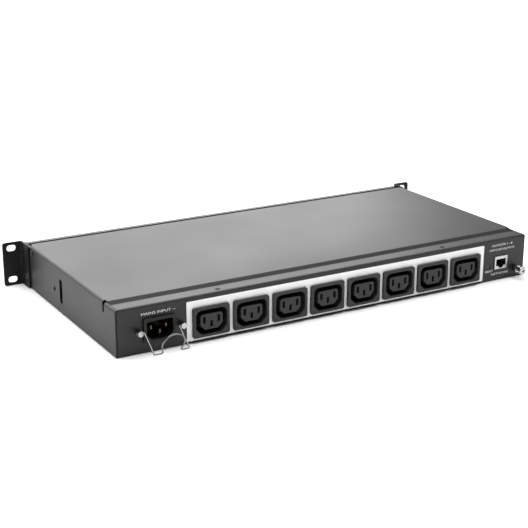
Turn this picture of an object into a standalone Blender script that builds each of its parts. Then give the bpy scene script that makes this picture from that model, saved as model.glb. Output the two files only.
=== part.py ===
"""One-unit rack power strip: eight appliance outlets, mains inlet with a wire bail, network jack.

Run with: blender --background --python part.py
X is the width, Y the depth (rear panel towards +Y) and Z is up. Sizes are in millimetres, and
mesh points are written in metres. Y = 0 is halfway between the two panels and Z = 0 is the
underside of the tray and of the rack ears.
"""

import math

import bmesh
import bpy
from mathutils import Matrix, Vector
from mathutils.geometry import tessellate_polygon

MM = 0.001
GAP = 0.3                       # between pieces that touch

# The case
CASE_W = 442.0                  # outside of the side walls
CASE_D = 223.0                  # front panel face to rear panel face
CASE_H = 44.0                   # top of the cover
SHEET = 1.2                     # all the case sheets
BEND_R = 2.4                    # outside radius of the cover's bends
COVER_FOOT = 0.8                # lower edge of the cover's walls
REAR_INSET = 21.5               # rear panel face to the rear edge of the cover's flat top
FRONT_INSET = 16.5              # front panel face to the front edge of the cover's flat top
REAR_LIP = 14.0                 # depth of the rear panel's top flange
FRONT_LIP = 7.2                 # depth of the front panel's top flange
FRONT_LOWER = 0.6               # the front flange below the rear one
TONGUE_END = 5.0                # panel face to the end of the cover's tongue
SLIT_AHEAD = 1.4                # edge of the flat top to the relief slit at each corner
SLIT_W = 3.2
SLIT_H = 9.9
TRAY_FLANGE = 14.0              # height of the tray's upturned edges
TRAY_BEND = 1.5                 # inside radius of the tray's bends
PANEL_FLANGE = 12.0             # bottom flange of each panel

# Cut-outs in each side wall: distance from the front face, height, size
SIDE_SLOT = (99.6, 21.5, 6.5, 23.0)
SIDE_HOLE = (83.3, 19.6, 2.2)
SIDE_SCREW = (26.4, 37.8)

# Rack ears
EAR_REACH = 20.3                # ear tip from the case's side
RACK_W = CASE_W + 2 * EAR_REACH
EAR_H = 43.65
EAR_T = 1.5
EAR_LEG = 19.0
SLOT_X = CASE_W / 2 + 11.55
SLOT_PITCH = 31.75
SLOT_L = 9.1
SLOT_W = 6.1

# Outlets
OUTLETS = 8
OUTLET_PITCH = 39.68
OUTLET_X = 132.7                # centre of the first outlet
OUTLET_Z = 18.4
FLANGE_W = 35.8
FLANGE_H = 27.4
FLANGE_T = 2.5
BODY_W = FLANGE_W - 3.4         # outlet body behind the flange
BODY_H = FLANGE_H - 2.8
BODY_D = 24.0
RECESS_W = FLANGE_W - 5.6
RECESS_H = FLANGE_H - 5.0
RECESS_D = 16.0
CORE_W = 21.5
CORE_H = 14.2
PIN_HALF = 7.0                  # line and neutral from the middle
LIVE_UP = 1.7                   # line and neutral above the middle
EARTH_DOWN = 2.3
LABEL = (-168.6, 155.4, 2.4, 38.6)
LABEL_T = 0.3

# Mains inlet and its wire bail
INLET_X = 181.1
INLET_Z = 20.0
BEZEL_W = 30.2
BEZEL_H = 22.6
BEZEL_T = 2.0
CAVITY_W = 24.5
CAVITY_H = 16.8
CAVITY_D = 17.0
INLET_D = 26.0
POST_HALF = 20.0                # bail post from the inlet's middle
POST_AF = 5.0
POST_L = 7.0
POST_RISE = 0.6                 # posts above the inlet's middle
WIRE_R = 0.7
WIRE_FIT = 0.1                  # radial play of the wire in its post
AXIS_OUT = 5.2                  # bail axis in front of the rear panel
WIRE_BEND = 1.0                 # inside the wire's corners, on its centre line
LEG_HALF = POST_HALF - POST_AF / 2 - 0.2 - WIRE_BEND
LEG_LENGTH = 23.0
FOOT_IN = 8.2                   # inner end of each foot from the middle
ARCH_R = 10.4
ARCH_TOP = 19.2
LEG_DROP = 35.0                 # degrees below the horizontal at rest
ARCH_TURN = 103.0               # degrees from the legs to the arch

# Network jack, reset button and ground terminal
JACK_X = -190.8
JACK_Z = 18.3
JACK_W = 15.9
JACK_H = 13.2
JACK_D = 21.0
JACK_OUT = 1.0
PORT_W = 11.8
RESET_X = -176.2
RESET_Z = 15.3
RESET_R = 1.75
RESET_TRAVEL = 0.5
GROUND_X = -209.3
GROUND_Z = 9.6
GROUND_R = 2.0
GROUND_OUT = 13.5               # face of the ground screw's head from the panel

LIP_SCREW_X = 122.0
LIP_SCREW_IN = 6.0              # from the rear panel's face
LIP_HEAD_R = 2.4
LIP_SHANK_R = 1.25

REAR = CASE_D / 2
FRONT = -CASE_D / 2
HALF_W = CASE_W / 2
LIP_Z = CASE_H - SHEET          # top of the rear panel's flange
FRONT_LIP_Z = LIP_Z - FRONT_LOWER
POST_Z = INLET_Z + POST_RISE

MATERIALS = {
    "case_paint": ((0.055, 0.056, 0.06), 0.5, 0.0),
    "panel_paint": ((0.045, 0.046, 0.05), 0.5, 0.0),
    "ear_paint": ((0.03, 0.03, 0.032), 0.5, 0.0),
    "label_white": ((0.85, 0.85, 0.85), 0.45, 0.0),
    "outlet_plastic": ((0.025, 0.025, 0.027), 0.4, 0.0),
    "inlet_plastic": ((0.015, 0.015, 0.016), 0.4, 0.0),
    "plated_steel": ((0.75, 0.75, 0.76), 0.25, 1.0),
    "brass": ((0.72, 0.55, 0.28), 0.3, 1.0),
    "board": ((0.02, 0.12, 0.06), 0.5, 0.0),
    "relay_plastic": ((0.02, 0.06, 0.18), 0.45, 0.0),
    "button_plastic": ((0.03, 0.03, 0.03), 0.45, 0.0),
    "light_pipe": ((0.8, 0.85, 0.8), 0.2, 0.0),
    "wire_insulation": ((0.12, 0.05, 0.03), 0.5, 0.0),
}


def clear_scene():
    for obj in list(bpy.data.objects):
        bpy.data.objects.remove(obj)


def material(name):
    found = bpy.data.materials.get(name)
    if found:
        return found
    colour, roughness, metallic = MATERIALS[name]
    made = bpy.data.materials.new(name)
    made.use_nodes = True
    shader = made.node_tree.nodes["Principled BSDF"]
    shader.inputs["Base Color"].default_value = (*colour, 1.0)
    shader.inputs["Roughness"].default_value = roughness
    shader.inputs["Metallic"].default_value = metallic
    return made


# Outlines, as lists of (a, b) points in millimetres

def arc(a, b, radius, start, end, steps=5):
    turns = [math.radians(start + (end - start) * i / steps) for i in range(steps + 1)]
    return [(a + radius * math.cos(t), b + radius * math.sin(t)) for t in turns]


def circle(a, b, radius, steps=20):
    return arc(a, b, radius, 0, 360, steps)[:-1]


def rounded(a, b, width, height, radius, steps=4):
    w, h = width / 2 - radius, height / 2 - radius
    return (arc(a + w, b + h, radius, 0, 90, steps) + arc(a - w, b + h, radius, 90, 180, steps)
            + arc(a - w, b - h, radius, 180, 270, steps) + arc(a + w, b - h, radius, 270, 360, steps))


def rectangle(a0, a1, b0, b1):
    return [(a0, b0), (a1, b0), (a1, b1), (a0, b1)]


def rounded_corners(points, radii, steps=3):
    """A closed outline with each corner replaced by an arc of its own radius."""
    outline = []
    for i, (corner, radius) in enumerate(zip(points, radii)):
        corner = Vector(corner)
        back = (Vector(points[i - 1]) - corner).normalized()
        ahead = (Vector(points[(i + 1) % len(points)]) - corner).normalized()
        half = back.angle(ahead) / 2
        centre = corner + (back + ahead).normalized() * (radius / math.sin(half))
        start = corner + back * (radius / math.tan(half)) - centre
        sweep = start.angle_signed(corner + ahead * (radius / math.tan(half)) - centre)
        for step in range(steps + 1):
            turn = -sweep * step / steps
            outline.append((centre.x + start.x * math.cos(turn) - start.y * math.sin(turn),
                            centre.y + start.x * math.sin(turn) + start.y * math.cos(turn)))
    return outline


def keyed(a, b, width, height, upper_r, lower_r, chamfer):
    """Round upper corners, and both lower corners chamfered: the outline of an appliance plug."""
    w, h = width / 2, height / 2
    corners = [(a + w, b + h), (a - w, b + h), (a - w, b - h + chamfer), (a - w + chamfer, b - h),
               (a + w - chamfer, b - h), (a + w, b - h + chamfer)]
    return rounded_corners(corners, [upper_r] * 2 + [lower_r] * 4)


def hexagon(a, b, across_flats):
    return arc(a, b, across_flats / math.sqrt(3), 30, 390, 6)[:-1]


# Solids

def add_object(name, bm, finish, origin=(0, 0, 0)):
    bmesh.ops.remove_doubles(bm, verts=bm.verts, dist=1e-7)
    bmesh.ops.recalc_face_normals(bm, faces=bm.faces)
    bmesh.ops.translate(bm, verts=bm.verts, vec=-Vector(origin) * MM)
    mesh = bpy.data.meshes.new(name)
    bm.to_mesh(mesh)
    bm.free()
    if finish:
        mesh.materials.append(material(finish))
    obj = bpy.data.objects.new(name, mesh)
    obj.location = Vector(origin) * MM
    bpy.context.scene.collection.objects.link(obj)
    return obj


def placed(axis, a, b, along):
    return {"X": (along, a, b), "Y": (a, along, b), "Z": (a, b, along)}[axis]


def fill_prism(bm, axis, low, high, outline, holes=()):
    loops = [outline, *holes]
    ends = []
    for along in (low, high):
        ends.append([[bm.verts.new(Vector(placed(axis, a, b, along)) * MM) for a, b in loop]
                     for loop in loops])
    flat = [vert for loop in ends[0] for vert in loop]
    top = [vert for loop in ends[1] for vert in loop]
    for triangle in tessellate_polygon([[Vector((a, b, 0)) for a, b in loop] for loop in loops]):
        bm.faces.new([flat[i] for i in triangle])
        bm.faces.new([top[i] for i in triangle])
    for near, far in zip(*ends):
        for i, vert in enumerate(near):
            j = (i + 1) % len(near)
            bm.faces.new((vert, near[j], far[j], far[i]))


def prism(name, finish, axis, low, high, outline, holes=(), origin=(0, 0, 0)):
    bm = bmesh.new()
    fill_prism(bm, axis, low, high, outline, holes)
    return add_object(name, bm, finish, origin)


def block(name, finish, x, y, z):
    return prism(name, finish, "Z", z[0], z[1], rectangle(x[0], x[1], y[0], y[1]))


def turned(name, finish, axis, centre, profile, steps=20):
    """Revolves (radius, height) points about an axis through centre; the ends lie on the axis."""
    bm = bmesh.new()
    rings = []
    for radius, height in profile:
        if radius == 0:
            rings.append([bm.verts.new(Vector(placed(axis, centre[0], centre[1], height)) * MM)])
        else:
            points = circle(centre[0], centre[1], radius, steps)
            rings.append([bm.verts.new(Vector(placed(axis, a, b, height)) * MM) for a, b in points])
    for lower, upper in zip(rings, rings[1:]):
        for i in range(steps):
            j = (i + 1) % steps
            corners = [lower[i % len(lower)], lower[j % len(lower)],
                       upper[j % len(upper)], upper[i % len(upper)]]
            bm.faces.new(list(dict.fromkeys(corners)))
    return add_object(name, bm, finish)


def combine(target, other, operation):
    other.hide_render = True
    other.display_type = "WIRE"
    modifier = target.modifiers.new(other.name, "BOOLEAN")
    modifier.operation = operation
    modifier.solver = "EXACT"
    modifier.object = other


def cut(target, cutter):
    combine(target, cutter, "DIFFERENCE")


def join(target, other):
    combine(target, other, "UNION")


# The case

def cover_side(sign, radius_top):
    """Section of one wall and its bend, from the foot to where the bend meets the flat."""
    x, z = HALF_W - BEND_R, radius_top - BEND_R
    points = ([(HALF_W, COVER_FOOT)] + arc(x, z, BEND_R, 0, 90) + arc(x, z, BEND_R - SHEET, 90, 0)
              + [(HALF_W - SHEET, COVER_FOOT)])
    return [(sign * a, b) for a, b in points]


def cover_end(body, face, sign, inset, lip_z, tag):
    """The sloped tongue across the top and the two low rims that flank it at one end."""
    slit_near = inset + SLIT_AHEAD
    slit_far = slit_near + SLIT_W
    drop = CASE_H - lip_z + SHEET + GAP
    slack = SHEET * math.tan(math.radians(22.5))
    overlap = 1.5

    def y(distance):
        return face - sign * distance

    half_top = HALF_W - BEND_R - 0.4
    tongue = [(slit_far + overlap, CASE_H), (inset, CASE_H), (inset - drop, CASE_H - drop),
              (TONGUE_END, CASE_H - drop), (TONGUE_END, CASE_H - drop - SHEET),
              (inset - drop + slack, CASE_H - drop - SHEET), (inset + slack, CASE_H - SHEET),
              (slit_far + overlap, CASE_H - SHEET)]
    join(body, prism(f"join_tongue_{tag}", None, "X", -half_top, half_top,
                     [(y(d), z) for d, z in tongue]))
    for side in (1, -1):
        join(body, prism(f"join_rim_{tag}_{side}", None, "Y", y(0.4), y(slit_near),
                         cover_side(side, lip_z)))
        wall = [side * (HALF_W - SHEET), side * HALF_W]
        join(body, prism(f"join_wall_{tag}_{side}", None, "Y", y(slit_near - overlap),
                         y(slit_far + overlap),
                         rectangle(min(wall), max(wall), COVER_FOOT, CASE_H - SLIT_H)))


def build_cover():
    x, z = HALF_W - BEND_R, CASE_H - BEND_R
    outer = [(HALF_W, COVER_FOOT)] + arc(x, z, BEND_R, 0, 90)
    inner = [(HALF_W - SHEET, COVER_FOOT)] + arc(x, z, BEND_R - SHEET, 0, 90)
    section = (outer + [(-a, b) for a, b in reversed(outer)]
               + [(-a, b) for a, b in inner] + list(reversed(inner)))
    low = FRONT + FRONT_INSET + SLIT_AHEAD + SLIT_W
    high = REAR - REAR_INSET - SLIT_AHEAD - SLIT_W
    cover = prism("cover", "case_paint", "Y", low, high, section)
    cover_end(cover, REAR, 1, REAR_INSET, LIP_Z, "rear")
    cover_end(cover, FRONT, -1, FRONT_INSET, FRONT_LIP_Z, "front")
    reach = HALF_W + 5
    slot_y, slot_z, slot_w, slot_h = SIDE_SLOT
    cut(cover, prism("cut_side_slot", None, "X", -reach, reach,
                     rounded(FRONT + slot_y, slot_z, slot_w, slot_h, 1.0, 2)))
    hole_y, hole_z, hole_r = SIDE_HOLE
    cut(cover, prism("cut_side_hole", None, "X", -reach, reach,
                     circle(FRONT + hole_y, hole_z, hole_r, 16)))
    for side in (1, -1):
        ends = sorted((side * (HALF_W - 6), side * reach))
        cut(cover, prism(f"cut_side_screw_{side}", None, "X", ends[0], ends[1],
                         circle(FRONT + SIDE_SCREW[0], SIDE_SCREW[1], 1.5 + GAP, 16)))
        cut(cover, prism(f"cut_tongue_{side}", None, "Z", 36.0, LIP_Z - SHEET - GAP / 2,
                         circle(side * LIP_SCREW_X, REAR - LIP_SCREW_IN, LIP_SHANK_R + GAP, 16)))


def build_tray():
    """The floor with upturned side edges; joggled ends lap over the panels' bottom flanges."""
    half = HALF_W - SHEET - GAP
    radius = TRAY_BEND + SHEET
    outer = [(half, TRAY_FLANGE)] + arc(half - radius, radius, radius, 0, -90, 4)
    inner = [(half - SHEET, TRAY_FLANGE)] + arc(half - radius, radius, radius - SHEET, 0, -90, 4)
    section = (outer + [(-a, b) for a, b in reversed(outer)]
               + [(-a, b) for a, b in inner] + list(reversed(inner)))
    floor_end = REAR - PANEL_FLANGE - GAP
    tray = prism("chassis_tray", "case_paint", "Y", -floor_end, floor_end, section)
    width = half - radius - 1.0
    for sign in (1, -1):
        step = [(floor_end - 6.0, 0.6), (floor_end - 0.4, 0.6), (floor_end - 0.4, SHEET + GAP),
                (REAR - 2.5, SHEET + GAP), (REAR - 2.5, SHEET + GAP + SHEET),
                (floor_end - 6.0, SHEET + GAP + SHEET)]
        join(tray, prism(f"join_tray_lap_{sign}", None, "X", -width, width,
                         [(sign * y, z) for y, z in step]))
    for x, y in standoff_places():
        cut(tray, prism(f"cut_tray_{x:.0f}_{y:.0f}", None, "Z", -5, 5, circle(x, y, 1.6, 12)))


def build_panel(name, finish, face, sign, lip, lip_z, corner_tag):
    """A channel: the face, a top flange that makes the lip, and a bottom flange under the tray."""
    bottom = 0.0
    half = HALF_W - SHEET - 0.35
    outer_r = 2.0
    inner_r = outer_r - SHEET

    def y(distance):
        return face - sign * distance

    profile = ([(lip, lip_z)]
               + [(outer_r - a, lip_z - outer_r + b) for a, b in arc(0, 0, outer_r, 90, 0, 4)]
               + [(outer_r - a, bottom + outer_r + b) for a, b in arc(0, 0, outer_r, 0, -90, 4)]
               + [(PANEL_FLANGE, bottom), (PANEL_FLANGE, bottom + SHEET)]
               + [(outer_r - a, bottom + outer_r + b) for a, b in arc(0, 0, inner_r, -90, 0, 4)]
               + [(outer_r - a, lip_z - outer_r + b) for a, b in arc(0, 0, inner_r, 0, 90, 4)]
               + [(lip, lip_z - SHEET)])
    panel = prism(name, finish, "X", -half, half, [(y(d), z) for d, z in profile])
    for side in (1, -1):
        centre = HALF_W - BEND_R
        step = BEND_R - SHEET - 0.35
        corner = ([(centre - GAP, lip_z + 5), (centre - GAP, lip_z - BEND_R + step)]
                  + arc(centre, lip_z - BEND_R, step, 90, 0, 4)
                  + [(HALF_W + 5, lip_z - BEND_R), (HALF_W + 5, lip_z + 5)])
        cut(panel, prism(f"cut_corner_{corner_tag}_{side}", None, "Y", y(-5), y(lip + 5),
                         [(side * a, b) for a, b in corner]))
    return panel


def flat_head(top, outward, head_r, shank_r, length, grow=0.0):
    """Profile of a 90-degree flat-head screw with its face at top; grown, it is the hole's cutter."""
    neck = top - outward * (0.1 + head_r - shank_r)
    start = top + outward * grow * 6
    return [(0, start), (head_r + grow, start), (head_r + grow, top - outward * 0.1),
            (shank_r + grow, neck), (shank_r + grow, top - outward * length), (0, top - outward * length)]


def cross_recess(screw, axis, centre, top, inward, tag, length=3.4, width=0.7, depth=1.1):
    for turn in (0, 1):
        half = (length / 2, width / 2) if turn == 0 else (width / 2, length / 2)
        outline = rectangle(centre[0] - half[0], centre[0] + half[0],
                            centre[1] - half[1], centre[1] + half[1])
        ends = sorted((top - inward, top + inward * depth))
        cut(screw, prism(f"cut_recess_{tag}_{turn}", None, axis, ends[0], ends[1], outline))


def build_lip_screws():
    """Two small flat-head screws hold the rear lip down on the cover's tongue."""
    panel = bpy.data.objects["rear_panel"]
    for side, word in ((1, "left"), (-1, "right")):
        centre = (side * LIP_SCREW_X, REAR - LIP_SCREW_IN)
        top = LIP_Z - 0.05
        cut(panel, turned(f"cut_lip_{word}", None, "Z", centre,
                          flat_head(top, 1, LIP_HEAD_R, LIP_SHANK_R, 3.0, GAP), 16))
        screw = turned(f"lip_screw_{word}", "ear_paint", "Z", centre,
                       flat_head(top, 1, LIP_HEAD_R, LIP_SHANK_R, 6.0), 16)
        cross_recess(screw, "Z", centre, top, -1, f"lip_{word}", 2.8, 0.6, 0.9)


def build_side_screws():
    for side, word in ((1, "left"), (-1, "right")):
        seat = side * (HALF_W + GAP)
        out = seat + side * 1.2
        centre = (FRONT + SIDE_SCREW[0], SIDE_SCREW[1])
        profile = [(0, out), (1.6, out), (2.3, out - side * 0.5), (2.4, seat), (1.5, seat),
                   (1.5, seat - side * 6), (0, seat - side * 6)]
        screw = turned(f"cover_screw_{word}", "ear_paint", "X", centre, profile, 16)
        cross_recess(screw, "X", centre, out, -side, f"cover_{side}", 2.4, 0.6, 0.7)


def build_ears():
    for side, word in ((1, "left"), (-1, "right")):
        inner = HALF_W + GAP
        outer_r = EAR_T + 1.0
        corner = (inner + outer_r, FRONT - EAR_T + outer_r)
        section = ([(inner, FRONT + EAR_LEG)] + arc(corner[0], corner[1], outer_r, 180, 270)
                   + [(RACK_W / 2, FRONT - EAR_T), (RACK_W / 2, FRONT)]
                   + arc(corner[0], corner[1], outer_r - EAR_T, 270, 180)
                   + [(inner + EAR_T, FRONT + EAR_LEG)])
        ear = prism(f"rack_ear_{word}", "ear_paint", "Z", 0.0, EAR_H,
                    [(side * a, b) for a, b in section])
        middle = EAR_H / 2
        for up in (1, -1):
            z = middle + up * SLOT_PITCH / 2
            cut(ear, prism(f"cut_slot_{word}_{up}", None, "Y", FRONT - 10, FRONT + 5,
                           rounded(side * SLOT_X, z, SLOT_L, SLOT_W, SLOT_W / 2 - 0.2, 5)))
            radius = 2.5
            tip = [(RACK_W / 2 + 1, middle + up * (middle + 1)),
                   (RACK_W / 2 + 1, middle + up * (middle - radius)),
                   *arc(RACK_W / 2 - radius, middle + up * (middle - radius), radius, 0, 90 * up, 4),
                   (RACK_W / 2 - radius, middle + up * (middle + 1))]
            cut(ear, prism(f"cut_tip_{word}_{up}", None, "Y", FRONT - 10, FRONT + 2,
                           [(side * a, b) for a, b in tip]))
            leg_r = 5.0
            leg = [(FRONT + EAR_LEG + 1, middle + up * (middle + 1)),
                   (FRONT + EAR_LEG + 1, middle + up * (middle - leg_r)),
                   *arc(FRONT + EAR_LEG - leg_r, middle + up * (middle - leg_r), leg_r, 0, 90 * up, 5),
                   (FRONT + EAR_LEG - leg_r, middle + up * (middle + 1))]
            ends = sorted((side * (HALF_W - 1), side * (inner + EAR_T + 1)))
            cut(ear, prism(f"cut_leg_{word}_{up}", None, "X", ends[0], ends[1], leg))
            build_ear_screw(ear, side, word, up, middle)


def build_ear_screw(ear, side, word, up, middle):
    """Flat-head screw through the ear's leg and the cover's wall."""
    centre = (FRONT + 11.0, middle + up * 11.0)
    face = side * (HALF_W + GAP + EAR_T)
    top = face - side * 0.05
    level = "upper" if up > 0 else "lower"
    cut(ear, turned(f"cut_ear_screw_{word}_{level}", None, "X", centre,
                    flat_head(top, side, 3.0, 1.5, 5.0, GAP), 16))
    bore = sorted((face - side * 1, face - side * 8))
    drill = prism(f"cut_bore_{word}_{level}", None, "X", bore[0], bore[1],
                  circle(*centre, 1.5 + GAP, 12))
    cut(bpy.data.objects["cover"], drill)
    if centre[1] < TRAY_FLANGE + 3:
        cut(bpy.data.objects["chassis_tray"], drill)
    screw = turned(f"ear_screw_{word}_{level}", "ear_paint", "X", centre,
                   flat_head(top, side, 3.0, 1.5, 9.0), 16)
    cross_recess(screw, "X", centre, top, -side, f"ear_{word}_{level}", 3.4, 0.7, 1.0)


# The rear panel and what it holds

def outlet_x(number):
    return OUTLET_X - number * OUTLET_PITCH


def build_rear_panel():
    panel = build_panel("rear_panel", "panel_paint", REAR, 1, REAR_LIP, LIP_Z, "rear")
    openings = [rounded(outlet_x(i), OUTLET_Z, BODY_W + 0.8, BODY_H + 0.8, 1.0, 2)
                for i in range(OUTLETS)]
    openings += [
        rounded(INLET_X, INLET_Z, BEZEL_W - 2.0, BEZEL_H - 2.0, 1.0, 2),
        circle(INLET_X - POST_HALF, POST_Z, 1.5 + GAP, 16),
        circle(INLET_X + POST_HALF, POST_Z, 1.5 + GAP, 16),
        rounded(JACK_X, JACK_Z, JACK_W + 0.7, JACK_H + 0.7, 0.5, 2),
        circle(RESET_X, RESET_Z, RESET_R + 0.45, 20),
        circle(GROUND_X, GROUND_Z, GROUND_R + GAP, 16),
    ]
    for number, outline in enumerate(openings):
        cut(panel, prism(f"cut_opening_{number}", None, "Y", REAR - 4, REAR + 4, outline))


def build_outlets():
    low = REAR + GAP + LABEL_T + GAP
    front = low + FLANGE_T
    windows = [rounded(outlet_x(i), OUTLET_Z, BODY_W + 1.4, BODY_H + 1.4, 1.0, 2)
               for i in range(OUTLETS)]
    x0, x1, z0, z1 = LABEL
    prism("outlet_label", "label_white", "Y", REAR + GAP, REAR + GAP + LABEL_T,
          rounded((x0 + x1) / 2, (z0 + z1) / 2, x1 - x0, z1 - z0, 1.0, 3), windows)
    for i in range(OUTLETS):
        x = outlet_x(i)
        recess = keyed(x, OUTLET_Z, RECESS_W, RECESS_H, 5.0, 3.5, 5.6)
        core = keyed(x, OUTLET_Z, CORE_W, CORE_H, 2.4, 1.5, 4.2)
        back = REAR - BODY_D
        floor = front - RECESS_D
        outlet = prism(f"outlet_{i + 1}", "outlet_plastic", "Y", low, front,
                       rounded(x, OUTLET_Z, FLANGE_W, FLANGE_H, 2.0, 4))
        join(outlet, prism(f"join_outlet_body_{i}", None, "Y", back, low + 0.5,
                           rounded(x, OUTLET_Z, BODY_W, BODY_H, 0.8, 2)))
        cut(outlet, prism(f"cut_outlet_recess_{i}", None, "Y", floor, front + 3, recess, [core]))
        cut(outlet, prism(f"cut_outlet_core_{i}", None, "Y", front - 0.4, front + 4,
                          keyed(x, OUTLET_Z, CORE_W + 1, CORE_H + 1, 2.9, 2.0, 4.5)))
        for a, b, tall in ((-PIN_HALF, LIVE_UP, 6.2), (PIN_HALF, LIVE_UP, 6.2),
                           (0.0, -EARTH_DOWN, 5.4)):
            cut(outlet, prism(f"cut_outlet_slot_{i}_{a:.0f}", None, "Y", front - 13, front + 5,
                              rectangle(x + a - 1.2, x + a + 1.2,
                                        OUTLET_Z + b - tall / 2, OUTLET_Z + b + tall / 2)))


def build_busbars():
    back = REAR - BODY_D - GAP
    for name, z in (("neutral_busbar", OUTLET_Z + LIVE_UP + 4.0), ("earth_busbar", OUTLET_Z - 6.0)):
        ends = (outlet_x(OUTLETS - 1) - 10.0, outlet_x(0) + 10.0)
        offset = -PIN_HALF if name == "neutral_busbar" else 0.0
        bar = block(name, "brass", ends, (back - 7.0, back - 6.2), (z - 3.0, z + 3.0))
        for i in range(OUTLETS):
            x = outlet_x(i) + offset
            join(bar, block(f"join_{name}_{i}", None, (x - 0.4, x + 0.4), (back - 6.6, back),
                            (z - 2.4, z + 2.4)))


def build_inlet():
    front = REAR + GAP + BEZEL_T
    cavity = keyed(INLET_X, INLET_Z, CAVITY_W, CAVITY_H, 1.8, 1.2, 4.6)
    housing = prism("inlet_housing", "inlet_plastic", "Y", REAR + GAP, front,
                    rounded(INLET_X, INLET_Z, BEZEL_W, BEZEL_H, 2.0, 4))
    join(housing, prism("join_inlet_body", None, "Y", REAR - INLET_D, REAR + GAP + 0.5,
                        rounded(INLET_X, INLET_Z, BEZEL_W - 3.0, BEZEL_H - 3.0, 0.8, 2)))
    cut(housing, prism("cut_inlet_cavity", None, "Y", front - CAVITY_D, front + 3, cavity))
    pins = (("line", -PIN_HALF, LIVE_UP, 3.5), ("neutral", PIN_HALF, LIVE_UP, 3.5),
            ("earth", 0.0, -EARTH_DOWN, 1.0))
    for name, a, b, below in pins:
        centre = (INLET_X + a, INLET_Z + b)
        cut(housing, prism(f"cut_inlet_{name}", None, "Y", REAR - INLET_D - 3, front - CAVITY_D + 2,
                           rectangle(centre[0] - 1.0 - GAP, centre[0] + 1.0 + GAP,
                                     centre[1] - 2.0 - GAP, centre[1] + 2.0 + GAP)))
        pin = prism(f"inlet_pin_{name}", "plated_steel", "Y", REAR - INLET_D - 8, front - below,
                    rectangle(centre[0] - 1.0, centre[0] + 1.0, centre[1] - 2.0, centre[1] + 2.0))
        edge = pin.modifiers.new("edge", "BEVEL")
        edge.width = 0.35 * MM
        edge.segments = 1


def build_posts():
    for side, word in ((1, "left"), (-1, "right")):
        x = INLET_X + side * POST_HALF
        post = prism(f"bail_post_{word}", "plated_steel", "Y", REAR + GAP, REAR + GAP + POST_L,
                     hexagon(x, POST_Z, POST_AF))
        join(post, prism(f"join_post_stud_{word}", None, "Y", REAR - 8, REAR + GAP + 1,
                         circle(x, POST_Z, 1.5, 16)))
        cut(post, prism(f"cut_post_{word}", None, "X", x - 8, x + 8,
                        circle(REAR + AXIS_OUT, POST_Z, WIRE_R + WIRE_FIT, 20)))


def fillet(points, radius, steps=5):
    """The open path with each inner corner rounded."""
    path = [Vector(points[0])]
    for before, corner, after in zip(points, points[1:], points[2:]):
        corner = Vector(corner)
        back = (Vector(before) - corner).normalized()
        ahead = (Vector(after) - corner).normalized()
        half = back.angle(ahead) / 2
        reach = radius / math.tan(half)
        centre = corner + (back + ahead).normalized() * (radius / math.sin(half))
        start, end = corner + back * reach - centre, corner + ahead * reach - centre
        sweep = start.angle(end)
        for i in range(steps + 1):
            part = i / steps
            weight = math.sin(sweep)
            path.append(centre + start * (math.sin((1 - part) * sweep) / weight)
                        + end * (math.sin(part * sweep) / weight))
    path.append(Vector(points[-1]))
    return path


def wire_object(name, finish, path, radius, origin=(0, 0, 0), sides=2):
    curve = bpy.data.curves.new(name, "CURVE")
    curve.dimensions = "3D"
    curve.bevel_depth = radius * MM
    curve.bevel_resolution = sides
    curve.use_fill_caps = True
    curve.twist_mode = "MINIMUM"
    spline = curve.splines.new("POLY")
    spline.points.add(len(path) - 1)
    for point, place in zip(spline.points, path):
        point.co = (*((Vector(place) - Vector(origin)) * MM), 1.0)
    curve.materials.append(material(finish))
    obj = bpy.data.objects.new(name, curve)
    obj.location = Vector(origin) * MM
    bpy.context.scene.collection.objects.link(obj)
    return obj


def build_bail():
    """Legs and feet in one plane; the arch is bent up from the feet to hook over a plug."""
    axis = (INLET_X, REAR + AXIS_OUT, POST_Z)
    bend = math.radians(ARCH_TURN)
    drop = Matrix.Rotation(math.radians(-LEG_DROP), 3, "X")

    def leg_plane(x, out):
        return Vector((x, out, 0.0))

    def arch_plane(x, up):
        return Vector((x, LEG_LENGTH + up * math.cos(bend), up * math.sin(bend)))

    run = math.hypot(FOOT_IN, ARCH_TOP - ARCH_R)
    low = ARCH_TOP - ARCH_R
    first = math.degrees(math.atan2(-low, FOOT_IN) + math.acos(ARCH_R / run))
    foot_out = LEG_HALF - 0.1
    half = [leg_plane(POST_HALF + POST_AF / 2 + 1.4, 0.0), leg_plane(LEG_HALF, 0.0),
            leg_plane(foot_out, LEG_LENGTH), arch_plane(FOOT_IN, 0.0)]
    arch = [arch_plane(a, b) for a, b in arc(0.0, low, ARCH_R, first, 180 - first, 18)]
    corners = fillet(half + [arch[0]], WIRE_BEND)[:-1]
    other = [Vector((-p.x, p.y, p.z)) for p in reversed(corners)]
    path = [drop @ p + Vector(axis) for p in corners + arch + other]
    wire_object("retention_bail", "plated_steel", path, WIRE_R, axis, 3)


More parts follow.
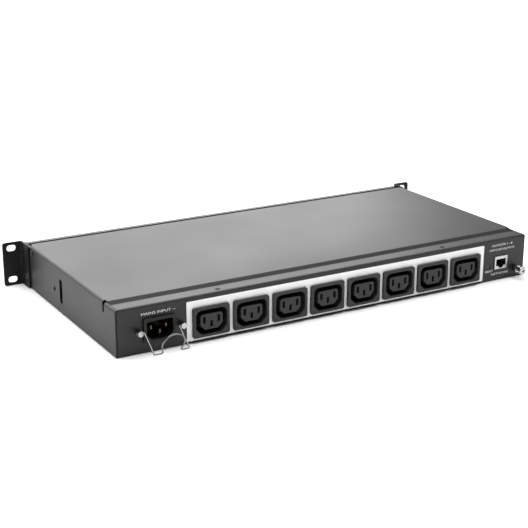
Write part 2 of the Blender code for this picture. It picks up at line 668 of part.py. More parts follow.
def build_network_parts():
    front = REAR + JACK_OUT
    shell = prism("network_jack_shell", "plated_steel", "Y", REAR - JACK_D, front,
                  rounded(JACK_X, JACK_Z, JACK_W, JACK_H, 0.4, 2))
    top = JACK_Z + 3.5
    low = JACK_Z - 3.2
    for half_w, depth in ((PORT_W / 2, 0.0), (3.1, 1.3), (1.7, 2.4)):
        cut(shell, prism(f"cut_port_{depth:.0f}", None, "Y", front - 15.0 + depth, front + 3,
                         rectangle(JACK_X - half_w, JACK_X + half_w, low - depth, top - depth)))
    insert = block("network_jack_contacts", "inlet_plastic",
                   (JACK_X - PORT_W / 2 + GAP, JACK_X + PORT_W / 2 - GAP),
                   (front - 14.7, front - 11.0), (low + GAP, top - GAP))
    for i in range(8):
        x = JACK_X + (i - 3.5) * 1.02
        join(insert, block(f"join_contact_{i}", None, (x - 0.2, x + 0.2),
                           (front - 12.0, front - 4.0), (top - 1.9, top - 1.4)))
    prism("reset_button", "button_plastic", "Y", REAR - 5.7, REAR - 0.6,
          circle(RESET_X, RESET_Z, RESET_R, 20), origin=(RESET_X, REAR - 0.6, RESET_Z))
    block("reset_switch", "inlet_plastic", (RESET_X - 3.0, RESET_X + 3.0),
          (REAR - 11.0, REAR - 5.7 - RESET_TRAVEL - GAP), (RESET_Z - 3.0, RESET_Z + 3.0))
    block("network_board", "board", (GROUND_X + 5.5, -168.0), (REAR - 62.0, REAR - 3.0),
          (9.9, 11.4))


def build_ground_terminal():
    nut = (REAR + GAP, REAR + GAP + 4.0)
    washer = (nut[1] + GAP, nut[1] + GAP + 0.8)
    prism("ground_washer", "plated_steel", "Y", *washer, circle(GROUND_X, GROUND_Z, 3.5, 24),
          [circle(GROUND_X, GROUND_Z, GROUND_R + GAP, 16)])
    prism("ground_nut", "ear_paint", "Y", *nut, hexagon(GROUND_X, GROUND_Z, 5.8),
          [circle(GROUND_X, GROUND_Z, GROUND_R + GAP, 16)])
    face = REAR + GROUND_OUT
    head = [(0, face), (2.8, face), (3.8, face - 0.5), (4.2, face - 1.3), (4.2, face - 2.3),
            (GROUND_R, face - 2.3), (GROUND_R, REAR - 9.0), (0, REAR - 9.0)]
    screw = turned("ground_screw", "plated_steel", "Y", (GROUND_X, GROUND_Z), head, 24)
    cross_recess(screw, "Y", (GROUND_X, GROUND_Z), face, -1, "ground", 4.0, 0.9, 1.4)


# The front panel and the inside

def build_front_panel():
    panel = build_panel("front_panel", "panel_paint", FRONT, -1, FRONT_LIP, FRONT_LIP_Z, "front")
    places = [outlet_x(i) for i in range(OUTLETS)]
    bar = block("status_light_bar", "light_pipe", (places[-1] - 6, places[0] + 6),
                (FRONT + SHEET + GAP, FRONT + SHEET + GAP + 3.0), (24.0, 28.0))
    for number, x in enumerate(places):
        cut(panel, prism(f"cut_light_{number}", None, "Y", FRONT - 3, FRONT + 3,
                         circle(x, 26.0, 1.5 + GAP, 12)))
        join(bar, prism(f"join_light_{number}", None, "Y", FRONT - 0.3, FRONT + SHEET + GAP + 1,
                        circle(x, 26.0, 1.5, 12)))


def standoff_places():
    return [(x, y) for x in (-158.0, 150.0) for y in (REAR - 108.0, REAR - 52.0)]


def build_inside():
    board_z = 8.0
    block("controller_board", "board", (-166.0, 158.0), (REAR - 114.0, REAR - 46.0),
          (board_z, board_z + 1.6))
    for i in range(OUTLETS):
        x = outlet_x(i)
        block(f"outlet_relay_{i + 1}", "relay_plastic", (x - 9.5, x + 9.5),
              (REAR - 72.0, REAR - 56.5), (board_z + 1.6 + GAP, board_z + 17.0))
    for number, (x, y) in enumerate(standoff_places()):
        turned(f"board_standoff_{number + 1}", "brass", "Z", (x, y),
               [(0, -0.0 + GAP), (1.3, GAP), (1.3, SHEET + GAP), (3.0, SHEET + GAP),
                (3.0, board_z - GAP), (0, board_z - GAP)], 12)
    block("power_module", "inlet_plastic", (166.0, 208.0), (REAR - 110.0, REAR - 50.0),
          (SHEET + GAP, 26.0))
    for name, a in (("line_lead", -PIN_HALF), ("neutral_lead", PIN_HALF)):
        start = Vector((INLET_X + a, REAR - INLET_D - 8.0 - GAP, INLET_Z + LIVE_UP))
        middle = start + Vector((0, -6.0, 0))
        end = Vector((start.x, REAR - 50.0 + GAP, start.z - 6.0))
        wire_object(name, "wire_insulation", fillet([start, middle, end + Vector((0, 4.0, 0)), end], 2.0),
                    1.3, sides=1)


clear_scene()
build_cover()
build_tray()
build_rear_panel()
build_front_panel()
build_lip_screws()
build_ears()
build_side_screws()
build_outlets()
build_busbars()
build_inlet()
build_posts()
build_bail()
build_network_parts()
build_ground_terminal()
build_inside()
bpy.context.view_layer.update()
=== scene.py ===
"""Finished look of a one-unit rack power strip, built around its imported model.

Everything is in metres in the model's own frame: +X along the width towards the mains inlet,
+Y out of the rear panel, +Z up. Sizes are written in millimetres and multiplied by MM.
"""

import math

import bmesh
import bpy
from mathutils import Matrix, Vector


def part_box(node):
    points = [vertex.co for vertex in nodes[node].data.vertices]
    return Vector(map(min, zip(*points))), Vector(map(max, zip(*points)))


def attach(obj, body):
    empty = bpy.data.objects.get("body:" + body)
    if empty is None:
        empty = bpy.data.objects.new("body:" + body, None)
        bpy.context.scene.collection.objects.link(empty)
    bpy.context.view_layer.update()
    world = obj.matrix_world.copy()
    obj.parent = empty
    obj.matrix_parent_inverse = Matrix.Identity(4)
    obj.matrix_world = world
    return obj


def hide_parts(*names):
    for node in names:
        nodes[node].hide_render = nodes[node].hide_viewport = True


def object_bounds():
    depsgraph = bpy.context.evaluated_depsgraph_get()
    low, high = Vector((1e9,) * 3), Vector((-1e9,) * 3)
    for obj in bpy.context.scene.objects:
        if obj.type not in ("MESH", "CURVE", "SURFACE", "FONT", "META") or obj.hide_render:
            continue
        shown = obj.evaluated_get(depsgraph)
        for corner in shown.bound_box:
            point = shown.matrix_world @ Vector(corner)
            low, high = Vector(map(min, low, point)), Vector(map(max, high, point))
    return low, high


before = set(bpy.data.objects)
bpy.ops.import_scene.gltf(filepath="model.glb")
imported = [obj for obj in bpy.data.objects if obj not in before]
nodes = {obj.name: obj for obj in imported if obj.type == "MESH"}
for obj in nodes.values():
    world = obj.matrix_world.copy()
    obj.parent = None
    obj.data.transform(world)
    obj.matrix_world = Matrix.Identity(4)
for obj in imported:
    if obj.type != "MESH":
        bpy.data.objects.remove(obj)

cad_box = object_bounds()
MM = 0.001


# ---------------------------------------------------------------------------------------------
# Camera: a long lens above the inlet end of the rear panel, looking down along the strip.

VIEW_TARGET = Vector((20.1, 9.8, 21.6)) * MM
VIEW_DISTANCE = 1.2
VIEW_AZIMUTH = math.radians(149.898)
VIEW_ELEVATION = math.radians(18.2135)
VIEW_ROLL = math.radians(0.103)
LENS = 84.08

camera = bpy.data.objects.new("camera", bpy.data.cameras.new("camera"))
bpy.context.scene.collection.objects.link(camera)
camera.data.sensor_width = 36
camera.data.lens = LENS
camera.data.clip_start = 0.05
level = math.cos(VIEW_ELEVATION)
ahead = Vector((-math.sin(VIEW_AZIMUTH) * level, math.cos(VIEW_AZIMUTH) * level,
                -math.sin(VIEW_ELEVATION)))
right = ahead.cross(Vector((0, 0, 1))).normalized()
turn = Matrix((right, right.cross(ahead), -ahead)).transposed()
turn = turn @ Matrix.Rotation(VIEW_ROLL, 3, "Z")
camera.matrix_world = Matrix.LocRotScale(VIEW_TARGET - ahead * VIEW_DISTANCE, turn, None)
bpy.context.scene.camera = camera


# ---------------------------------------------------------------------------------------------
# Studio: a white floor exposed to full white, a large softbox overhead, a wide one behind that
# the paint mirrors at a low angle, a weak one at the right, and a little light from the room.

bpy.context.scene.view_settings.view_transform = "Standard"

ROOM_LIGHT = 0.10
world = bpy.data.worlds.new("room")
bpy.context.scene.world = world
world.use_nodes = True
world.node_tree.nodes["Background"].inputs["Color"].default_value = (1.0, 1.0, 1.0, 1.0)
world.node_tree.nodes["Background"].inputs["Strength"].default_value = ROOM_LIGHT


def softbox(name, place, aim, width, height, power):
    light = bpy.data.lights.new(name, "AREA")
    light.shape = "RECTANGLE"
    light.size = width
    light.size_y = height
    light.energy = power
    box = bpy.data.objects.new(name, light)
    bpy.context.scene.collection.objects.link(box)
    facing = (Vector(aim) - Vector(place)).to_track_quat("-Z", "Y")
    box.matrix_world = Matrix.LocRotScale(Vector(place), facing, None)
    box.visible_camera = False


softbox("softbox_overhead", (0.0, -0.3, 2.6), (0, 0, 0), 4.2, 3.6, 190)
softbox("softbox_behind", (-0.17, -2.7, 1.1), (0, 0, 0.15), 4.0, 1.7, 89)
softbox("softbox_right", (-2.0, 1.2, 1.1), (0, 0, 0), 1.4, 1.2, 4)

floor_mesh = bpy.data.meshes.new("floor")
FLOOR_HALF = 7.0
FLOOR_GAP = 0.05 * MM
corners = [(-1, -1), (1, -1), (1, 1), (-1, 1)]
floor_mesh.from_pydata([(a * FLOOR_HALF, b * FLOOR_HALF, 0) for a, b in corners], [],
                       [(0, 1, 2, 3)])
floor = bpy.data.objects.new("floor", floor_mesh)
bpy.context.scene.collection.objects.link(floor)
floor_mesh.transform(Matrix.Translation((0, 0, cad_box[0][2] - FLOOR_GAP)))


# ---------------------------------------------------------------------------------------------
# Folded steel case: an inverted-U cover over a shallow tray, sheared, folded and powder coated
# dark grey. The cover's ends step down in 45-degree tongues that pass under the panels' lips.

def shader(name, **sockets):
    """A Principled material; values that don't vary go on the shader's own sockets."""
    material = bpy.data.materials.new(name)
    material.use_nodes = True
    for socket, value in sockets.items():
        material.node_tree.nodes["Principled BSDF"].inputs[
            socket.replace("_", " ")].default_value = value
    return material


def add_node(material, kind, links=(), **settings):
    """One shader node; links are (input, node, output) triples."""
    node = material.node_tree.nodes.new(kind)
    for key, value in settings.items():
        if hasattr(node, key):
            setattr(node, key, value)
        else:
            node.inputs[key.replace("_", " ")].default_value = value
    for socket, source, output in links:
        material.node_tree.links.new(source.outputs[output], node.inputs[socket])
    return node


DARKEST_AT, LIGHTEST_AT = 0.12, 0.42
CLOUD_LOW, CLOUD_HIGH = 0.3, 0.7


def grained(material, dark, light, scale, rough, relief, relief_scale, stretch=(1, 1, 1), cloud=9.0):
    """Colour that drifts between two tones, uneven gloss, and a fine relief of relief metres."""
    shader_node = material.node_tree.nodes["Principled BSDF"]
    where = add_node(material, "ShaderNodeTexCoord")
    spread = add_node(material, "ShaderNodeMapping", [("Vector", where, "Object")], Scale=stretch)
    fine = add_node(material, "ShaderNodeTexNoise", [("Vector", spread, "Vector")],
                    Scale=scale, Detail=4.0, Roughness=0.6)
    broad = add_node(material, "ShaderNodeTexNoise", [("Vector", where, "Object")],
                     Scale=cloud, Detail=2.0)
    both = add_node(material, "ShaderNodeMath", [(0, fine, "Fac"), (1, broad, "Fac")],
                    operation="MULTIPLY")
    ramp = add_node(material, "ShaderNodeValToRGB", [("Fac", both, "Value")])
    ramp.color_ramp.elements[0].position = DARKEST_AT
    ramp.color_ramp.elements[1].position = LIGHTEST_AT
    ramp.color_ramp.elements[0].color = (*dark, 1)
    ramp.color_ramp.elements[1].color = (*light, 1)
    gloss = add_node(material, "ShaderNodeMapRange", [("Value", broad, "Fac")])
    gloss.inputs["From Min"].default_value = CLOUD_LOW
    gloss.inputs["From Max"].default_value = CLOUD_HIGH
    gloss.inputs["To Min"].default_value = rough[0]
    gloss.inputs["To Max"].default_value = rough[1]
    bumps = add_node(material, "ShaderNodeTexNoise", [("Vector", spread, "Vector")],
                     Scale=relief_scale, Detail=2.0)
    bump = add_node(material, "ShaderNodeBump", [("Height", bumps, "Fac")], Distance=relief,
                    Strength=1.0)
    links = material.node_tree.links
    links.new(ramp.outputs["Color"], shader_node.inputs["Base Color"])
    links.new(gloss.outputs["Result"], shader_node.inputs["Roughness"])
    links.new(bump.outputs["Normal"], shader_node.inputs["Normal"])
    return material


def plain_object(name, mesh):
    piece = bpy.data.objects.new(name, mesh)
    bpy.context.scene.collection.objects.link(piece)
    return piece


def baked(piece):
    """The piece with its modifiers turned into a plain mesh."""
    bpy.context.view_layer.update()
    evaluated = piece.evaluated_get(bpy.context.evaluated_depsgraph_get())
    mesh = bpy.data.meshes.new_from_object(evaluated)
    mesh.name = piece.name
    piece.modifiers.clear()
    piece.data = mesh
    return piece


def eased(piece, width, segments=2, angle=30):
    """Every sharp edge rounded by width, with flat faces kept flat to the light."""
    bevel = piece.modifiers.new("edges", "BEVEL")
    bevel.width = width
    bevel.segments = segments
    bevel.limit_method = "ANGLE"
    bevel.angle_limit = math.radians(angle)
    bevel.miter_outer = "MITER_ARC"
    for polygon in piece.data.polygons:
        polygon.use_smooth = True
    flat = piece.modifiers.new("normals", "WEIGHTED_NORMAL")
    flat.weight = 80
    return baked(piece)


WELD = 0.002 * MM
FLAT = math.radians(0.3)


def welded(node, whole=True):
    """A frame node's shape with its triangles joined up, and flat ones merged if whole."""
    shape = bmesh.new()
    shape.from_mesh(nodes[node].data)
    bmesh.ops.remove_doubles(shape, verts=shape.verts, dist=WELD)
    if whole:
        bmesh.ops.dissolve_limit(shape, angle_limit=FLAT, verts=shape.verts, edges=shape.edges)
    return shape


def from_frame(node, width, finish, segments=2, angle=30, body="case", whole=True):
    """A copy of a frame node with rounded edges, standing for that node."""
    mesh = nodes[node].data.copy()
    shape = welded(node, whole)
    shape.to_mesh(mesh)
    shape.free()
    piece = eased(plain_object(f"{node}_finished", mesh), width, segments, angle)
    piece.data.materials.clear()
    piece.data.materials.append(finish)
    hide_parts(node)
    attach(piece, body)
    return piece


case_paint = grained(shader("case_powder_coat", Specular_IOR_Level=0.31),
                     (0.012, 0.012, 0.013), (0.018, 0.018, 0.019), 700.0, (0.41, 0.47),
                     0.010 * MM, 1500.0)
from_frame("cover", 0.3 * MM, case_paint)
from_frame("chassis_tray", 0.2 * MM, case_paint)


# ---------------------------------------------------------------------------------------------
# Rear and front panels: folded channels of the same sheet, in a slightly lighter coat. Their top
# lips lie over the cover's tongues, and the rear one has a punched opening for each connector.

panel_paint = grained(shader("panel_powder_coat", Specular_IOR_Level=0.32),
                      (0.016, 0.016, 0.017), (0.023, 0.023, 0.024), 700.0, (0.42, 0.48),
                      0.010 * MM, 1500.0)
from_frame("rear_panel", 0.22 * MM, panel_paint)
from_frame("front_panel", 0.22 * MM, panel_paint, whole=False)


# ---------------------------------------------------------------------------------------------
# Rack ears: L-shaped brackets of thicker sheet in satin black, each screwed to a side wall, with
# two obround slots at the rack's hole spacing.

ear_paint = grained(shader("ear_satin_black", Specular_IOR_Level=0.16),
                    (0.009, 0.009, 0.009), (0.014, 0.014, 0.014), 600.0, (0.45, 0.55),
                    0.008 * MM, 1200.0)
for ear in ("rack_ear_left", "rack_ear_right"):
    from_frame(ear, 0.3 * MM, ear_paint)


# ---------------------------------------------------------------------------------------------
# Flat-head screws with crossed recesses, blackened. Two hold the rear lip to the cover, two hold
# each ear, and one sits high in each side wall.

def lathe(name, profile, steps=40):
    """A turned piece about +Z from (radius, height) pairs in millimetres."""
    shape = bmesh.new()
    rings = []
    for radius, height in profile:
        if radius == 0:
            rings.append([shape.verts.new((0, 0, height * MM))])
            continue
        angles = [math.tau * i / steps for i in range(steps)]
        rings.append([shape.verts.new((radius * MM * math.cos(a), radius * MM * math.sin(a),
                                       height * MM)) for a in angles])
    for lower, upper in zip(rings, rings[1:]):
        for i in range(steps):
            j = (i + 1) % steps
            corners = [lower[i % len(lower)], lower[j % len(lower)],
                       upper[j % len(upper)], upper[i % len(upper)]]
            unique = list(dict.fromkeys(corners))
            if len(unique) > 2:
                shape.faces.new(unique)
    bmesh.ops.recalc_face_normals(shape, faces=shape.faces)
    mesh = bpy.data.meshes.new(name)
    shape.to_mesh(mesh)
    shape.free()
    return plain_object(name, mesh)


def box_object(name, low, high):
    """A closed box between two corners in millimetres, used as a punch."""
    mesh = bpy.data.meshes.new(name)
    points = [(x, y, z) for x in (low[0], high[0]) for y in (low[1], high[1])
              for z in (low[2], high[2])]
    mesh.from_pydata([Vector(p) * MM for p in points], [],
                     [(0, 1, 3, 2), (4, 6, 7, 5), (0, 4, 5, 1), (2, 3, 7, 6), (0, 2, 6, 4),
                      (1, 5, 7, 3)])
    return plain_object(name, mesh)


def punched(piece, *tools):
    for tool in tools:
        hole = piece.modifiers.new("hole", "BOOLEAN")
        hole.operation = "DIFFERENCE"
        hole.solver = "EXACT"
        hole.object = tool
    baked(piece)
    for tool in tools:
        bpy.data.objects.remove(tool)
    return piece


HEAD_LAND = 0.12
RECESS_SHARE = 0.11
RECESS_TOP = 1


def cross_screw(name, head, shank, length, slot, depth):
    """A 90-degree flat head with its face at z = 0 and a crossed recess."""
    neck = HEAD_LAND + head - shank
    screw = lathe(name, [(0, 0), (head - HEAD_LAND, 0), (head, -HEAD_LAND), (shank, -neck),
                         (shank, -length), (0, -length)])
    wide = slot * RECESS_SHARE
    punched(screw, box_object("punch_a", (-slot / 2, -wide, -depth), (slot / 2, wide, RECESS_TOP)))
    punched(screw, box_object("punch_b", (-wide, -slot / 2, -depth), (wide, slot / 2, RECESS_TOP)))
    return eased(screw, 0.06 * MM, 1, 35)


def geometry_tree(name, inputs):
    """An empty Geometry Nodes tree with its named inputs, and a function that adds a node."""
    tree = bpy.data.node_groups.new(name, "GeometryNodeTree")
    tree.interface.new_socket("Geometry", in_out="INPUT", socket_type="NodeSocketGeometry")
    for label, kind in inputs.items():
        tree.interface.new_socket(label, in_out="INPUT", socket_type=f"NodeSocket{kind}")
    tree.interface.new_socket("Geometry", in_out="OUTPUT", socket_type="NodeSocketGeometry")
    group = tree.nodes.new("NodeGroupInput")

    def add(kind, links=(), values=(), **settings):
        node = tree.nodes.new(kind)
        for key, value in settings.items():
            setattr(node, key, value)
        for socket, value in dict(values).items():
            node.inputs[socket].default_value = value
        for socket, source, output in links:
            tree.links.new(source.outputs[output], node.inputs[socket])
        return node

    return tree, group, add


def ended(tree, group, add, last, output):
    """Realizes the instances, sets the finish and connects the tree's output."""
    real = add("GeometryNodeRealizeInstances", [("Geometry", last, output)])
    coated = add("GeometryNodeSetMaterial", [("Geometry", real, "Geometry"),
                                             ("Material", group, "Finish")])
    out = tree.nodes.new("NodeGroupOutput")
    tree.links.new(coated.outputs["Geometry"], out.inputs["Geometry"])
    return tree


def grown(name, base, tree, values):
    """The plain mesh that a tree makes from a base mesh, with its inputs set by identifier."""
    piece = plain_object(name, base)
    modifier = piece.modifiers.new("tree", "NODES")
    modifier.node_group = tree
    for item in tree.interface.items_tree:
        if item.in_out == "INPUT" and item.name in values:
            modifier[item.identifier] = values[item.name]
    return baked(piece)


tree, group, add = geometry_tree("pieces_at_points", {"Piece": "Object", "Finish": "Material"})
facing = add("GeometryNodeInputNamedAttribute", values={"Name": "facing"},
             data_type="FLOAT_VECTOR")
aimed = add("FunctionNodeAlignRotationToVector", [("Vector", facing, "Attribute")], axis="Z")
source = add("GeometryNodeObjectInfo", [("Object", group, "Piece")])
spread = add("GeometryNodeInstanceOnPoints", [("Points", group, "Geometry"),
                                              ("Instance", source, "Geometry"),
                                              ("Rotation", aimed, "Rotation")])
at_points = ended(tree, group, add, spread, "Instances")


def points_mesh(name, places):
    """A mesh of loose points, each with the direction that its piece faces."""
    mesh = bpy.data.meshes.new(name)
    mesh.from_pydata([place for place, _ in places], [], [])
    facing = mesh.attributes.new("facing", "FLOAT_VECTOR", "POINT")
    for i, (_, direction) in enumerate(places):
        facing.data[i].vector = direction
    return mesh


def face_centre(node, axis, sign):
    """Middle of a node's box on the face that looks along an axis."""
    low, high = (Vector(c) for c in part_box(node))
    middle = (low + high) / 2
    middle[axis] = high[axis] if sign > 0 else low[axis]
    return middle


def screw_set(name, screw, finish, names, axis, signs):
    places = []
    for node, sign in zip(names, signs):
        direction = Vector((0, 0, 0))
        direction[axis] = sign
        places.append((face_centre(node, axis, sign), direction))
    piece = grown(name, points_mesh(name, places), at_points, {"Piece": screw, "Finish": finish})
    bpy.data.objects.remove(screw)
    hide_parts(*names)
    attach(piece, "case")


screw_black = grained(shader("blackened_steel", Metallic=0.6),
                      (0.018, 0.018, 0.020), (0.05, 0.05, 0.052), 900.0, (0.32, 0.45),
                      0.004 * MM, 1400.0)
# A darker, non-metallic copy of the screw black for the two screws on the lit top: painted shade, so
# they read as dark spots.
lip_screw_black_painted_shade = grained(shader("oxide_black_steel", Specular_IOR_Level=0.15),
                      (0.004, 0.004, 0.004), (0.010, 0.010, 0.010), 900.0, (0.5, 0.6),
                      0.004 * MM, 1400.0)
screw_set("ear_screws", cross_screw("ear_screw", 3.0, 1.5, 9.0, 3.4, 1.1), screw_black,
          [f"ear_screw_{side}_{height}" for side in ("left", "right")
           for height in ("upper", "lower")], 0, (1, 1, -1, -1))
screw_set("lip_screws", cross_screw("lip_screw", 2.4, 1.25, 6.0, 2.8, 0.9), lip_screw_black_painted_shade,
          ["lip_screw_left", "lip_screw_right"], 2, (1, 1))
for side in ("left", "right"):
    from_frame(f"cover_screw_{side}", 0.12 * MM, screw_black)


# ---------------------------------------------------------------------------------------------
# Outlet label: a thin white film stuck on the rear panel behind the row of outlets, with a
# cut-out for each of them.

film = grained(shader("label_film", Specular_IOR_Level=0.4),
               (0.90, 0.90, 0.90), (0.95, 0.95, 0.95), 260.0, (0.42, 0.5), 0.003 * MM, 900.0)
from_frame("outlet_label", 0.06 * MM, film, 1)


# ---------------------------------------------------------------------------------------------
# Appliance outlets: eight one-piece mouldings in charcoal plastic, pushed into the panel from
# outside at an even pitch. Each has a raised flange, a deep ring and a core with three slots.

outlet_plastic = grained(shader("outlet_moulding", Specular_IOR_Level=0.34),
                         (0.018, 0.018, 0.019), (0.028, 0.028, 0.029), 1300.0, (0.46, 0.56),
                         0.009 * MM, 2600.0)
OUTLETS = 8
first, last = Vector(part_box("outlet_1")[0]), Vector(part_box("outlet_8")[0])

mesh = nodes["outlet_1"].data.copy()
shape = welded("outlet_1")
weights = shape.edges.layers.float.new("bevel_weight_edge")
face_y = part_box("outlet_1")[1][1]
low, high = (Vector(c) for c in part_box("outlet_1"))
CORNER_REACH = 3.0 * MM
SIDE_REACH = 0.3 * MM
FACE_REACH = 0.05 * MM
SHARP = math.radians(28)
RIM_EASE = 0.9 * MM
INNER_SHARE = 0.28
for edge in shape.edges:
    if len(edge.link_faces) != 2 or edge.calc_face_angle() < SHARP:
        continue
    middle = (edge.verts[0].co + edge.verts[1].co) / 2
    on_face = all(abs(v.co.y - face_y) < FACE_REACH for v in edge.verts)
    in_x = min(middle.x - low.x, high.x - middle.x)
    in_z = min(middle.z - low.z, high.z - middle.z)
    at_rim = in_x < SIDE_REACH or in_z < SIDE_REACH or in_x + in_z < CORNER_REACH
    edge[weights] = 1.0 if on_face and at_rim else INNER_SHARE
shape.to_mesh(mesh)
shape.free()
outlet = plain_object("outlet_master", mesh)
bevel = outlet.modifiers.new("edges", "BEVEL")
bevel.width = RIM_EASE
bevel.segments = 2
bevel.limit_method = "WEIGHT"
for polygon in mesh.polygons:
    polygon.use_smooth = True
outlet.modifiers.new("normals", "WEIGHTED_NORMAL").weight = 80
baked(outlet)

tree, group, add = geometry_tree("pieces_in_a_row", {"Piece": "Object", "Count": "Int",
                                                     "Step": "Vector", "Finish": "Material"})
row = add("GeometryNodeMeshLine", [("Count", group, "Count"), ("Offset", group, "Step")])
source = add("GeometryNodeObjectInfo", [("Object", group, "Piece")])
spread = add("GeometryNodeInstanceOnPoints", [("Points", row, "Mesh"),
                                              ("Instance", source, "Geometry")])
in_a_row = ended(tree, group, add, spread, "Instances")
outlets = grown("outlets", bpy.data.meshes.new("outlets"), in_a_row,
                {"Piece": outlet, "Count": OUTLETS, "Step": (last - first) / (OUTLETS - 1),
                 "Finish": outlet_plastic})
bpy.data.objects.remove(outlet)
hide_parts(*[f"outlet_{i}" for i in range(1, 9)])
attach(outlets, "case")


# ---------------------------------------------------------------------------------------------
# Mains inlet: a black moulding with a raised bezel, set in the panel from outside, and three
# plated blade pins that stand in its cavity, coloured far darker than bare plating as painted shade.

inlet_plastic = grained(shader("inlet_moulding", Specular_IOR_Level=0.26),
                        (0.006, 0.006, 0.006), (0.012, 0.011, 0.011), 1500.0, (0.36, 0.46),
                        0.006 * MM, 2400.0)
from_frame("inlet_housing", 0.35 * MM, inlet_plastic)
# The pins' plating colour is painted shade: it is made dark to stand for the shade inside the
# cavity.
pin_plate_painted_shade = grained(shader("pin_plating", Metallic=1.0),
                    (0.06, 0.05, 0.035), (0.13, 0.11, 0.075), 500.0, (0.24, 0.36),
                    0.002 * MM, 900.0, (1, 0.06, 1))
for pin in ("inlet_pin_line", "inlet_pin_neutral", "inlet_pin_earth"):
    from_frame(pin, 0.3 * MM, pin_plate_painted_shade)


# ---------------------------------------------------------------------------------------------
# Plug retainer: a bail of drawn spring wire that swings in two cross-drilled hexagonal posts and
# hooks over the plug. The posts are nickel plated, and the wire is darker.

plated = grained(shader("nickel_plating", Metallic=1.0),
                 (0.34, 0.34, 0.35), (0.48, 0.48, 0.49), 700.0, (0.14, 0.26),
                 0.003 * MM, 1600.0)
wire = grained(shader("drawn_wire", Metallic=1.0),
               (0.13, 0.13, 0.135), (0.22, 0.22, 0.225), 900.0, (0.16, 0.28),
               0.002 * MM, 1600.0, (0.2, 1, 1))
for side in ("left", "right"):
    from_frame(f"bail_post_{side}", 0.25 * MM, plated)
from_frame("retention_bail", 0.02 * MM, wire, 1, 80, "bail")


# ---------------------------------------------------------------------------------------------
# Network jack: a drawn shield can with a stepped port, a moulded insert, and eight gilt spring
# contacts that hang from the port's roof.

can_plate = grained(shader("can_plating", Metallic=1.0),
                    (0.34, 0.34, 0.345), (0.48, 0.48, 0.485), 600.0, (0.24, 0.36),
                    0.003 * MM, 1400.0)
from_frame("network_jack_shell", 0.2 * MM, can_plate)
from_frame("network_jack_contacts", 0.05 * MM, inlet_plastic, 1)
gilt = grained(shader("contact_gilding", Metallic=1.0), (0.62, 0.46, 0.18), (0.80, 0.60, 0.28),
               900.0, (0.2, 0.3), 0.001 * MM, 900.0)
insert_low, insert_high = (Vector(c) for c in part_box("network_jack_contacts"))
CONTACTS = 8
CONTACT_STEP = 1.02 * MM
HALF_WIDTH = 0.18
HALF_THICKNESS = 0.14
strip = bmesh.new()
run = [(-8.0, -0.5), (0.4, -0.5), (1.0, -0.8), (0.4, -1.1), (-6.2, -2.9)]
rings = []
for i, (y, z) in enumerate(run):
    before, after = Vector(run[max(i - 1, 0)]), Vector(run[min(i + 1, len(run) - 1)])
    across = Vector((-(after - before).y, (after - before).x)).normalized() * HALF_THICKNESS
    rings.append([strip.verts.new(Vector((x, y + side * across.x, z + side * across.y)) * MM)
                  for x, side in ((-HALF_WIDTH, -1), (HALF_WIDTH, -1), (HALF_WIDTH, 1),
                                  (-HALF_WIDTH, 1))])
for near, far in zip(rings, rings[1:]):
    for i in range(4):
        strip.faces.new((near[i], near[(i + 1) % 4], far[(i + 1) % 4], far[i]))
strip.faces.new(rings[0])
strip.faces.new(rings[-1])
bmesh.ops.recalc_face_normals(strip, faces=strip.faces)
mesh = bpy.data.meshes.new("contact")
strip.to_mesh(mesh)
strip.free()
first_x = (insert_low.x + insert_high.x) / 2 - (CONTACTS - 1) / 2 * CONTACT_STEP
mesh.transform(Matrix.Translation((first_x, insert_high.y, insert_high.z)))
contact = eased(plain_object("contact", mesh), 0.04 * MM, 1, 20)
contacts = grown("network_contacts", bpy.data.meshes.new("network_contacts"), in_a_row,
                 {"Piece": contact, "Count": CONTACTS, "Step": (CONTACT_STEP, 0.0, 0.0),
                  "Finish": gilt})
bpy.data.objects.remove(contact)
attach(contacts, "case")


# ---------------------------------------------------------------------------------------------
# Reset button: a small dark moulded plunger that stands just inside a hole in the panel, and
# presses a black tactile switch behind it.

button_plastic = grained(shader("button_moulding", Specular_IOR_Level=0.45),
                         (0.05, 0.05, 0.052), (0.075, 0.075, 0.078), 1800.0, (0.42, 0.5),
                         0.004 * MM, 3000.0)
from_frame("reset_button", 0.25 * MM, button_plastic, body="reset")
from_frame("reset_switch", 0.2 * MM, inlet_plastic)


# ---------------------------------------------------------------------------------------------
# Ground terminal: a hexagonal nut next to the panel, coloured black as painted shade, a plated
# washer over it, and a plated screw through both, whose head stands clear of them.

from_frame("ground_washer", 0.12 * MM, plated)
# The nut's black finish is painted shade: it darkens the terminal round the washer.
from_frame("ground_nut", 0.15 * MM, screw_black)
from_frame("ground_screw", 0.15 * MM, plated)


# ---------------------------------------------------------------------------------------------
# Printing: generic words in white ink on the rear panel. Each is a flat sheet of letters a few
# hundredths of a millimetre in front of the paint.

ink = grained(shader("white_ink", Specular_IOR_Level=0.3), (0.66, 0.66, 0.66),
              (0.78, 0.78, 0.78), 900.0, (0.5, 0.6), 0.002 * MM, 1800.0)
INK = 0.03 * MM
rear_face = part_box("rear_panel")[1][1]


def printed(name, words, centre_x, centre_z, width, height):
    """Words on the rear panel, read from behind the case, fitted to a width and height."""
    text = bpy.data.curves.new(name, "FONT")
    text.body = words
    text.resolution_u = 3
    source = bpy.data.objects.new(name, text)
    bpy.context.scene.collection.objects.link(source)
    bpy.context.view_layer.update()
    mesh = bpy.data.meshes.new_from_object(source)
    bpy.data.objects.remove(source)
    xs = [v.co.x for v in mesh.vertices]
    ys = [v.co.y for v in mesh.vertices]
    mesh.transform(Matrix.Translation((-(min(xs) + max(xs)) / 2, -(min(ys) + max(ys)) / 2, 0)))
    mesh.transform(Matrix.Diagonal((width * MM / (max(xs) - min(xs)),
                                    height * MM / (max(ys) - min(ys)), 1, 1)))
    mesh.transform(Matrix(((-1, 0, 0, centre_x * MM), (0, 0, 1, rear_face + INK),
                           (0, 1, 0, centre_z * MM), (0, 0, 0, 1))))
    mesh.materials.clear()
    mesh.materials.append(ink)
    piece = plain_object(name, mesh)
    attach(piece, "case")


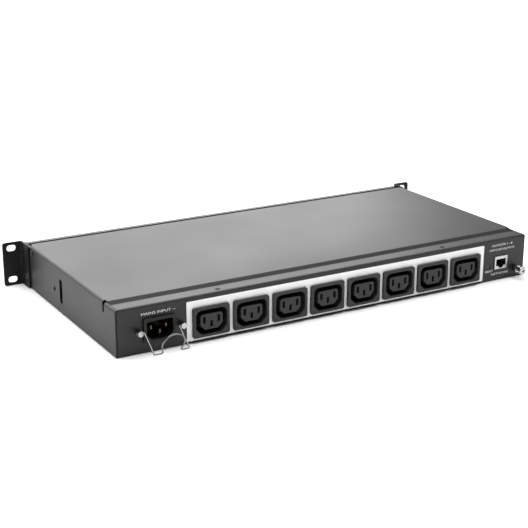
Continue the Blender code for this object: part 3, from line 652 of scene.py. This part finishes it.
printed("print_inlet", "MAINS INPUT ~", 181.6, 35.0, 31.5, 2.3)
printed("print_outlets_upper", "OUTLETS 1 - 8", -191.8, 36.3, 25.6, 2.1)
printed("print_outlets_lower", "SWITCHED OUTPUTS", -191.8, 31.7, 31.3, 2.1)
printed("print_reset", "RESET", -177.0, 10.6, 10.0, 1.9)
printed("print_network", "NETWORK", -190.8, 7.0, 21.5, 2.1)


# ---------------------------------------------------------------------------------------------
# Status lights: a clear moulded bar inside the front panel, with eight round pipes that reach
# through holes in it, one for each outlet.

pipe = grained(shader("light_pipe", Transmission_Weight=0.5, IOR=1.49),
               (0.72, 0.80, 0.74), (0.80, 0.86, 0.80), 400.0, (0.12, 0.2), 0.001 * MM, 900.0)
from_frame("status_light_bar", 0.2 * MM, pipe)


# ---------------------------------------------------------------------------------------------
# Inside: a control board on brass standoffs with one relay for each outlet, a network board, a
# closed supply module, brass busbars and two insulated leads.

board_mask = grained(shader("solder_mask", Specular_IOR_Level=0.5),
                     (0.006, 0.055, 0.022), (0.012, 0.095, 0.042), 420.0, (0.25, 0.4),
                     0.01 * MM, 500.0, (1, 0.25, 1))
brass = grained(shader("rolled_brass", Metallic=1.0), (0.60, 0.43, 0.20), (0.74, 0.56, 0.29),
                300.0, (0.22, 0.36), 0.003 * MM, 700.0, (0.05, 1, 1))
relay_plastic = grained(shader("relay_case", Specular_IOR_Level=0.5), (0.012, 0.03, 0.12),
                        (0.02, 0.045, 0.16), 1100.0, (0.3, 0.4), 0.004 * MM, 2000.0)
insulation = grained(shader("wire_insulation", Specular_IOR_Level=0.4), (0.09, 0.035, 0.018),
                     (0.13, 0.05, 0.028), 500.0, (0.4, 0.5), 0.004 * MM, 900.0)
for board in ("network_board", "controller_board"):
    from_frame(board, 0.1 * MM, board_mask, 1)
for bar in ("neutral_busbar", "earth_busbar"):
    from_frame(bar, 0.15 * MM, brass, 1)
for i in range(1, 5):
    from_frame(f"board_standoff_{i}", 0.2 * MM, brass, 1)
for i in range(1, 9):
    from_frame(f"outlet_relay_{i}", 0.5 * MM, relay_plastic)
from_frame("power_module", 0.8 * MM, inlet_plastic)
for lead in ("line_lead", "neutral_lead"):
    from_frame(lead, 0.02 * MM, insulation, 1, 80)


# ---------------------------------------------------------------------------------------------
# Floor finish: near-white and matt, with no relief.

floor_mesh.materials.append(grained(shader("studio_floor", Specular_IOR_Level=0.0),
                                    (0.94, 0.94, 0.94), (0.96, 0.96, 0.96), 3.0, (0.9, 1.0),
                                    0.0, 5.0, cloud=0.7))
